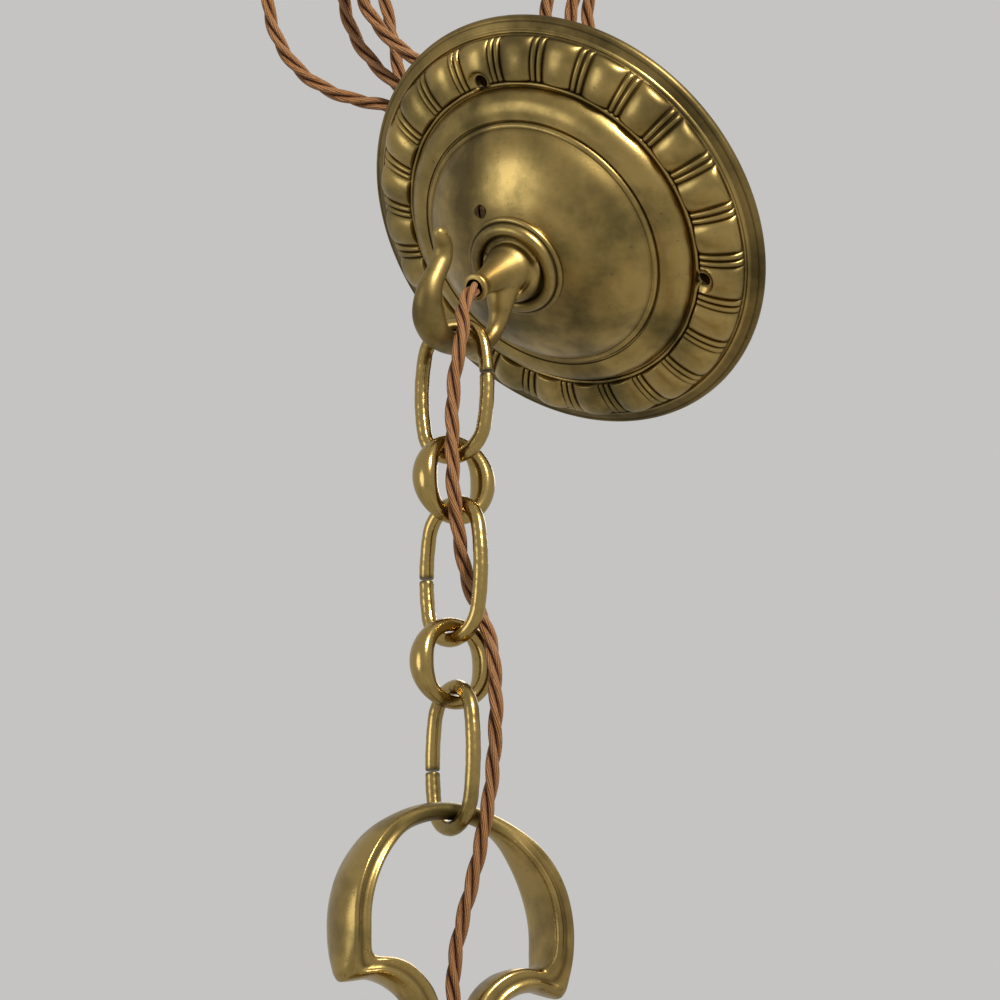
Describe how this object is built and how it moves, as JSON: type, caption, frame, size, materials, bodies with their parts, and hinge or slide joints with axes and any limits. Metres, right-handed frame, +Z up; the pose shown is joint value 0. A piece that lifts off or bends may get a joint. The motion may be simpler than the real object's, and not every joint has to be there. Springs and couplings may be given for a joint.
{
  "type": "six-arm chandelier",
  "caption": "Brass chandelier with round lobed ceiling plate, hook, link-and-ring chain with twisted flex, stirrup loop, turned stem, and scrolled arms with candle lights.",
  "frame": {"origin": "centre of the ceiling plate's hanging hole, on the plate's front face", "axes": "+Z up, against gravity; +Y away from the viewer of the picture; the chain hangs along -Z and the ceiling plate leans, as it does when hung from one hole"},
  "size_m": [0.4892, 0.4892, 0.7688],
  "materials": {
    "brass": "aged, softly polished, dark in the hollows",
    "braided_silk": "copper-brown braid",
    "wire_core": "bare tinned copper",
    "wire_rubber": "dull insulation",
    "steel": "dull, lightly tarnished",
    "porcelain": "glazed",
    "candle_card": "ivory, matt",
    "holder_plastic": "dark bakelite"
  },
  "bodies": {
    "ceiling_mount": {"ceiling_plate": "brass", "plate_grub_screw": "steel", "hook_collar": "brass", "ceiling_hook": "brass", "hook_washer": "steel", "hook_nut": "steel", "flex_tail": "braided_silk", "flex_tail_ends": "wire_core"},
    "link_1": {"link_1": "brass"},
    "ring_1": {"ring_1": "brass"},
    "link_2": {"link_2": "brass", "chain_flex": "braided_silk"},
    "ring_2": {"ring_2": "brass"},
    "link_3": {"link_3": "brass"},
    "chandelier": {"top_loop": "brass", "loop_base": "brass", "stem_tube": "steel", "upper_vase": "brass", "gadrooned_knop": "brass", "stem_column": "brass", "lower_knop": "brass", "arm_hub": "brass", "bridge_bar": "brass", "bowl": "brass", "finial": "brass", "terminal_block": "porcelain", "arm_wires": "wire_rubber", "arm_nuts": "steel", "arm_1": "brass", "drip_pan_1": "brass", "candle_cup_1": "brass", "candle_sleeve_1": "candle_card", "lampholder_1": "holder_plastic", "arm_2": "brass", "drip_pan_2": "brass", "candle_cup_2": "brass", "candle_sleeve_2": "candle_card", "lampholder_2": "holder_plastic", "arm_3": "brass", "drip_pan_3": "brass", "candle_cup_3": "brass", "candle_sleeve_3": "candle_card", "lampholder_3": "holder_plastic", "arm_4": "brass", "drip_pan_4": "brass", "candle_cup_4": "brass", "candle_sleeve_4": "candle_card", "lampholder_4": "holder_plastic", "arm_5": "brass", "drip_pan_5": "brass", "candle_cup_5": "brass", "candle_sleeve_5": "candle_card", "lampholder_5": "holder_plastic", "arm_6": "brass", "drip_pan_6": "brass", "candle_cup_6": "brass", "candle_sleeve_6": "candle_card", "lampholder_6": "holder_plastic"}
  },
  "joints": [
    {"name": "hook_swing", "type": "hinge", "parent": "ceiling_mount", "child": "link_1", "pos_m": [-0.00219, -0.00566, -0.06986], "axis": [0.8549, -0.4312, -0.2884], "range_deg": [-47, 12]},
    {"name": "ring_1_swing", "type": "hinge", "parent": "link_1", "child": "ring_1", "pos_m": [-0.00819, -0.00264, -0.13174], "axis": [0.891, -0.454, 0], "range_deg": [-14, 14]},
    {"name": "link_2_swing", "type": "hinge", "parent": "ring_1", "child": "link_2", "pos_m": [-0.00819, -0.00264, -0.15222], "axis": [0.8192, 0.5736, 0], "range_deg": [-14, 14], "deforming": ["chain_flex"]},
    {"name": "ring_2_swing", "type": "hinge", "parent": "link_2", "child": "ring_2", "pos_m": [-0.00819, -0.00264, -0.19244], "axis": [0.7314, -0.682, 0], "range_deg": [-14, 14]},
    {"name": "link_3_swing", "type": "hinge", "parent": "ring_2", "child": "link_3", "pos_m": [-0.00819, -0.00264, -0.21292], "axis": [0.8746, 0.4848, 0], "range_deg": [-14, 14]},
    {"name": "chandelier_swing", "type": "hinge", "parent": "link_3", "child": "chandelier", "pos_m": [-0.00819, -0.00264, -0.25314], "axis": [0.5446, -0.8387, 0], "range_deg": [-10, 10]}
  ]
}
